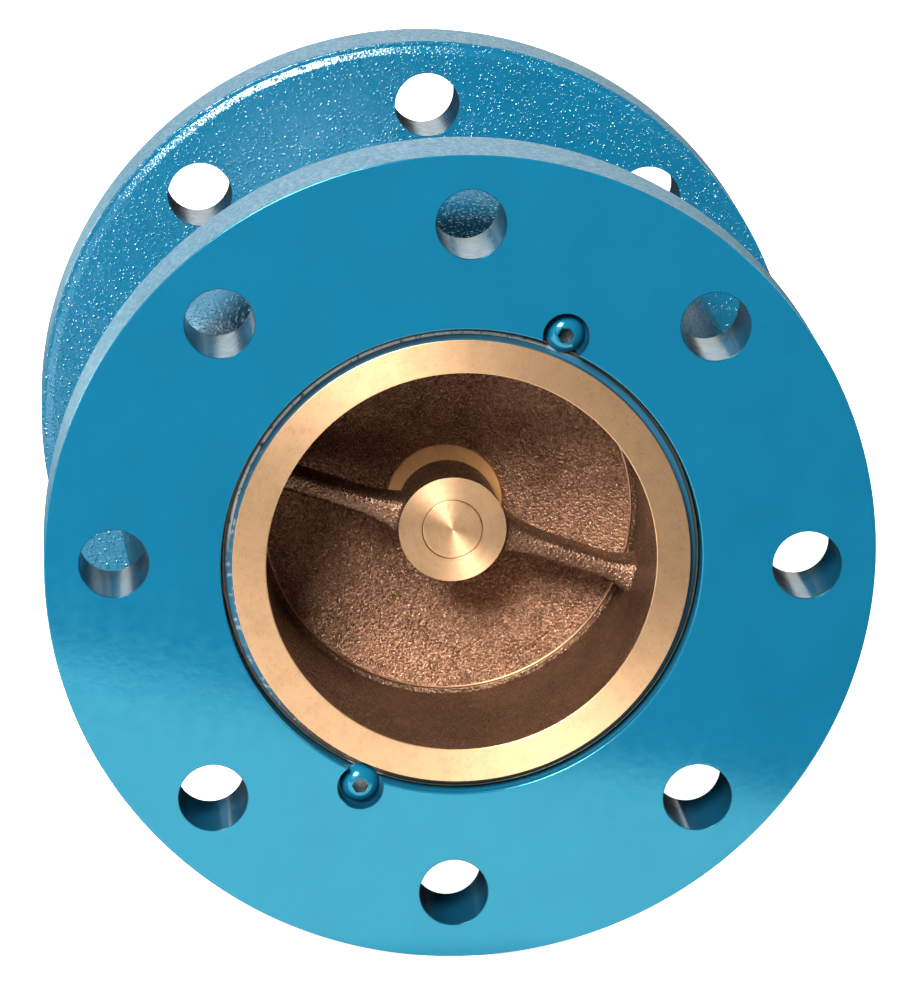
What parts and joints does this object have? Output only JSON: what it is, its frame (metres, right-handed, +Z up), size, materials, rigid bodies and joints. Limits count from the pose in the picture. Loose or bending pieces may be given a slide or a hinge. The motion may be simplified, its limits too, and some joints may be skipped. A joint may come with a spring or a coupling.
{
  "type": "silent check valve",
  "caption": "Flanged silent check valve for a pipe: blue iron body, bronze seat ring with a two-arm guide, and a dished plug that a spring holds shut.",
  "frame": {"origin": "centre of the inlet flange's face", "axes": "+Y along the flow, from the inlet flange to the outlet flange; +Z up, through one bolt hole of each flange"},
  "size_m": [0.2286, 0.1841, 0.2286],
  "materials": {
    "body_paint": "glossy blue paint, smooth on the faces and rough on the casting",
    "screw_paint": "glossy blue paint over a socket screw",
    "seat_bronze": "turned bright on the face and hub, brown as cast inside",
    "plug_bronze": "brown as cast, turned bright on the stem and closing edge",
    "bushing_bronze": "turned",
    "seal_rubber": "matt black",
    "spring_steel": "drawn stainless wire"
  },
  "bodies": {
    "housing": {"body": "body_paint", "rear_guide_bushing": "bushing_bronze", "seat_ring": "seat_bronze", "seat_o_ring": "seal_rubber", "seat_screw_upper": "screw_paint", "seat_screw_lower": "screw_paint"},
    "spring_end": {"spring": "spring_steel"},
    "plug": {"plug": "plug_bronze"}
  },
  "joints": [
    {"name": "plug_lift", "type": "slide", "parent": "housing", "child": "spring_end", "axis": [0, 1, 0], "range_m": [0, 0.019], "stiffness_N_per_m": 2700, "springref_m": -0.012, "deforming": ["spring"]},
    {"name": "plug_spin", "type": "hinge", "parent": "spring_end", "child": "plug", "pos_m": [0, 0.1, 0], "axis": [0, 1, 0], "continuous": true}
  ]
}
